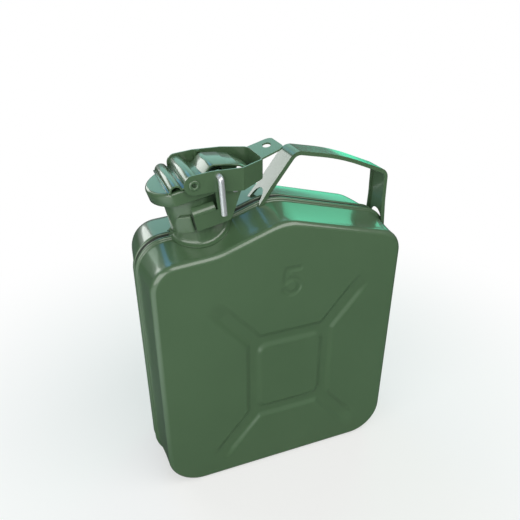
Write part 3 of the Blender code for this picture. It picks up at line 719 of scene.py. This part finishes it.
def makeRivet(name, node, side):
    low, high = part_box(node)
    middle = (low + high) / 2
    foot, top = (high.y, low.y) if side < 0 else (low.y, high.y)
    under = top - side * rivet["thick"]
    hollow, shank = rivet["hollow"], rivet["shank"]
    roll = (rivet["head"] - hollow) / 2
    profile = [(hollow, foot), (shank, foot), (shank, under), (rivet["head"], under)]
    for i in range(rivet["rollSteps"] + 1):
        a = math.pi * i / rivet["rollSteps"]
        across = hollow + roll + roll * math.cos(a)
        profile.append((across, under + side * rivet["thick"] * math.sin(a)))
    turns = [math.tau * j / rivet["steps"] for j in range(rivet["steps"])]
    work = bmesh.new()
    rings = []
    for r, y in profile:
        ring = [(middle.x + r * math.cos(t), y, middle.z + r * math.sin(t)) for t in turns]
        rings.append([work.verts.new(p) for p in ring])
    joinRings(work, rings + rings[:1])
    bmesh.ops.remove_doubles(work, verts=work.verts, dist=meshing["weld"])
    bmesh.ops.recalc_face_normals(work, faces=work.faces)
    standIn(meshPiece(name, work, greenEnamel, meshing["splitAbove"]), node, "closure")


makeRivet("nearRivet", "pivot_rivet_near", -1)
makeRivet("farRivet", "pivot_rivet_far", 1)
print("rivets rolled")

# Every other node keeps its CAD form with its edges eased
easedNodes = {
    "filler_neck": {"body": "can", "ease": 0.00012, "look": greenEnamel},
    "hinge_bracket": {"body": "can", "ease": 0.00045, "look": greenEnamel},
    "spout_lug_near": {"body": "can", "ease": 0.0008, "look": greenEnamel},
    "spout_lug_far": {"body": "can", "ease": 0.0008, "look": greenEnamel},
    "handle": {"body": "can", "ease": 0.0007, "look": greenEnamel},
    "lever": {"body": "lever", "ease": 0.0005, "look": greenEnamel},
    "locking_pin": {"body": "pin", "ease": 0.0005, "look": brightZinc},
    "hinge_pin": {"body": "can", "ease": 0.0003, "look": brightZinc},
    "cap_gasket": {"body": "closure", "ease": 0.0004, "look": blackRubber},
    "breather_tube": {"body": "can", "ease": 0.0002, "look": brightZinc},
}

# Where the bracket's flat lips curl, along the neck and left of a limit, and how far they swell
curl = {"low": 0.0352, "high": 0.0412, "right": 0.0123, "bulge": 0.0013, "cuts": 7}


def curlLips(work):
    upright = neckFrame.inverted()
    axis = neckFrame.to_3x3() @ Vector((0, 0, 1))
    for i in range(1, curl["cuts"]):
        level = curl["low"] + (curl["high"] - curl["low"]) * i / curl["cuts"]
        bmesh.ops.bisect_plane(
            work, geom=list(work.verts) + list(work.edges) + list(work.faces), dist=meshing["weld"],
            plane_co=neckFrame @ Vector((0, 0, level)), plane_no=axis,
        )
    for vert in work.verts:
        u, y, n = upright @ vert.co
        share = (n - curl["low"]) / (curl["high"] - curl["low"])
        if u < curl["right"] and 0 < share < 1:
            vert.co.y += math.copysign(curl["bulge"] * math.sin(math.pi * share), y)


# A copy of a CAD node with its sharp edges rounded off
def easedCopy(node, ease, look, body):
    work = bmesh.new()
    work.from_mesh(nodes[node].data)
    bmesh.ops.remove_doubles(work, verts=work.verts, dist=meshing["cadWeld"])
    bmesh.ops.dissolve_limit(
        work, angle_limit=math.radians(meshing["flatBelow"]), verts=work.verts, edges=work.edges,
        use_dissolve_boundaries=False,
    )
    if node == "hinge_bracket":
        curlLips(work)
    limit = math.radians(meshing["easeAbove"])
    sharp = [e for e in work.edges if len(e.link_faces) == 2 and e.calc_face_angle() > limit]
    roundEdges(work, sharp, ease, meshing["easedRimSteps"])
    piece = meshPiece(node + "Eased", work, look, meshing["easedSplitAbove"])
    weighted = piece.modifiers.new("evenNormals", "WEIGHTED_NORMAL")
    weighted.keep_sharp = True
    standIn(piece, node, body)


for node, words in easedNodes.items():
    easedCopy(node, words["ease"], words["look"], words["body"])
print("fittings eased")

# The floor and the room: the eye sees white, while the enamel mirrors a darker floor with one bright part
studio = {
    "floorSize": 14,
    "floorColour": (0.90, 0.90, 0.89, 1),
    "mirroredFloor": (0.10, 0.12, 0.10, 1),
    "mirroredGlare": (0.95, 1, 0.95, 1),
    "glareSide": (-0.14, -0.34),
    "glareBack": (0.14, -0.04),
    "whiteFrom": 0.14,
    "whiteAt": 0.55,
    "whiteLeast": 0.5,
    "ambient": 0.20,
    "ambientColour": (0.93, 0.97, 1, 1),
    "white": (1, 1, 1, 1),
}


# A mask that is one for the given kinds of ray
def whiteFor(tree, *rays):
    path = newNode(tree, "LightPath")
    mask = path.outputs[rays[0]]
    for ray in rays[1:]:
        larger = newNode(tree, "Math", operation="MAXIMUM")
        tree.links.new(mask, larger.inputs[0])
        tree.links.new(path.outputs[ray], larger.inputs[1])
        mask = larger.outputs[0]
    return mask


def makeFloor():
    half = studio["floorSize"] / 2
    corners = [(-half, -half, 0), (half, -half, 0), (half, half, 0), (-half, half, 0)]
    floor = newPiece("floor", corners, [(0, 1, 2, 3)], bpy.data.materials.new("floorPaper"))
    floor.data.materials[0].use_nodes = True
    tree = floor.data.materials[0].node_tree
    link = tree.links.new
    paper = tree.nodes["Principled BSDF"]
    paper.inputs["Roughness"].default_value = 1
    paper.inputs["Specular IOR Level"].default_value = 0
    spot = newNode(tree, "TexCoord")
    # What mirrors see: a dark floor, bright towards the front left
    sides = newNode(tree, "SeparateXYZ")
    glare = newNode(tree, "Math", operation="MULTIPLY")
    link(spot.outputs["Object"], sides.inputs[0])
    for i, (axis, word) in enumerate({"X": "glareSide", "Y": "glareBack"}.items()):
        start, end = studio[word]
        ramp = newNode(tree, "MapRange", {"From Min": start, "From Max": end})
        link(sides.outputs[axis], ramp.inputs["Value"])
        link(ramp.outputs["Result"], glare.inputs[i])
    mirroredTones = {6: studio["mirroredFloor"], 7: studio["mirroredGlare"]}
    mirrored = newNode(tree, "Mix", mirroredTones, data_type="RGBA")
    tone = newNode(tree, "Mix", {6: studio["floorColour"]}, data_type="RGBA")
    link(glare.outputs[0], mirrored.inputs[0])
    link(mirrored.outputs[2], tone.inputs[7])
    link(whiteFor(tree, "Is Glossy Ray"), tone.inputs[0])
    link(tone.outputs[2], paper.inputs["Base Color"])
    # What the eye sees: paper near the can, which fades into plain white
    away = newNode(tree, "VectorMath", operation="LENGTH")
    reach = {"From Min": studio["whiteFrom"], "From Max": studio["whiteAt"], "To Min": studio["whiteLeast"]}
    fade = newNode(tree, "MapRange", reach, interpolation_type="SMOOTHSTEP")
    share = newNode(tree, "Math", operation="MULTIPLY")
    glow = newNode(tree, "Emission", {"Color": studio["white"], "Strength": 1})
    blend = newNode(tree, "MixShader")
    link(spot.outputs["Object"], away.inputs[0])
    link(away.outputs["Value"], fade.inputs["Value"])
    link(fade.outputs["Result"], share.inputs[0])
    link(whiteFor(tree, "Is Camera Ray"), share.inputs[1])
    link(share.outputs[0], blend.inputs[0])
    link(paper.outputs[0], blend.inputs[1])
    link(glow.outputs[0], blend.inputs[2])
    link(blend.outputs[0], tree.nodes["Material Output"].inputs["Surface"])


def makeWorld():
    world = bpy.data.worlds.new("studioWorld")
    bpy.context.scene.world = world
    world.use_nodes = True
    tree = world.node_tree
    plain = tree.nodes["Background"]
    plain.inputs["Color"].default_value = studio["ambientColour"]
    plain.inputs["Strength"].default_value = studio["ambient"]
    clear = newNode(tree, "Background", {"Color": studio["white"], "Strength": 1})
    either = newNode(tree, "MixShader")
    tree.links.new(whiteFor(tree, "Is Camera Ray", "Is Transmission Ray"), either.inputs[0])
    tree.links.new(plain.outputs[0], either.inputs[1])
    tree.links.new(clear.outputs[0], either.inputs[2])
    tree.links.new(either.outputs[0], tree.nodes["World Output"].inputs["Surface"])


makeFloor()
makeWorld()

# Two lamps at the front, and coloured ones behind for what the enamel mirrors in the photograph
softboxes = {
    "overhead": {"place": (0.36, -0.72, 1.28), "size": (1.5, 0.85), "power": 11.5, "colour": (1, 0.99, 0.96)},
    "leftKey": {"place": (-1.25, -1.00, 0.78), "size": (1.7, 1.2), "power": 17, "colour": (1, 1, 0.98)},
    "rearSky": {"place": (0.16, 1.47, 0.90), "size": (1.04, 0.70), "power": 1.9, "colour": (0.45, 1, 0.86)},
    "deepSky": {"place": (-0.22, 1.05, 1.45), "size": (0.50, 1.0), "power": 2.0, "colour": (0.06, 0.42, 1)},
    "paleSky": {"place": (-0.98, 0.93, 1.15), "size": (0.5, 0.6), "power": 1.5, "colour": (0.80, 1, 0.88)},
    "hedge": {"place": (0.97, 0.995, 0.90), "size": (0.66, 0.70), "power": 2.6, "colour": (0.12, 1, 0.58)},
    "lawn": {"place": (0.70, 1.03, 0.20), "size": (0.7, 0.18), "power": 0.5, "colour": (0.12, 1, 0.58)},
    "legGlare": {"place": (-0.65, 1.29, 0.64), "size": (0.6, 0.45), "power": 2.6, "colour": (0.95, 1, 0.96)},
}
lampAim = Vector((0, 0, 0.15))

for name, box in softboxes.items():
    lamp = bpy.data.lights.new(name, "AREA")
    lamp.shape = "RECTANGLE"
    lamp.size, lamp.size_y = box["size"]
    lamp.energy = box["power"]
    lamp.color = box["colour"]
    held = bpy.data.objects.new(name, lamp)
    held.location = box["place"]
    held.visible_camera = False
    held.rotation_euler = (held.location - lampAim).to_track_quat("Z", "Y").to_euler()
    bpy.context.scene.collection.objects.link(held)

# The photograph's view: place in metres, pitch down and turn in degrees, lens and sensor in millimetres
camera = {
    "place": (-0.1619, -0.4100, 0.4456),
    "pitch": 28.18,
    "turn": -20.88,
    "lens": 36.69,
    "sensor": 36,
    "nearest": 0.01,
}

lens = bpy.data.cameras.new("photoView")
lens.lens = camera["lens"]
lens.sensor_width = camera["sensor"]
lens.clip_start = camera["nearest"]
eye = bpy.data.objects.new("photoView", lens)
eye.location = camera["place"]
eye.rotation_euler = (math.radians(90 - camera["pitch"]), 0, math.radians(camera["turn"]))
bpy.context.scene.collection.objects.link(eye)
bpy.context.scene.camera = eye
bpy.context.scene.view_settings.view_transform = "Standard"
print("studio lit")
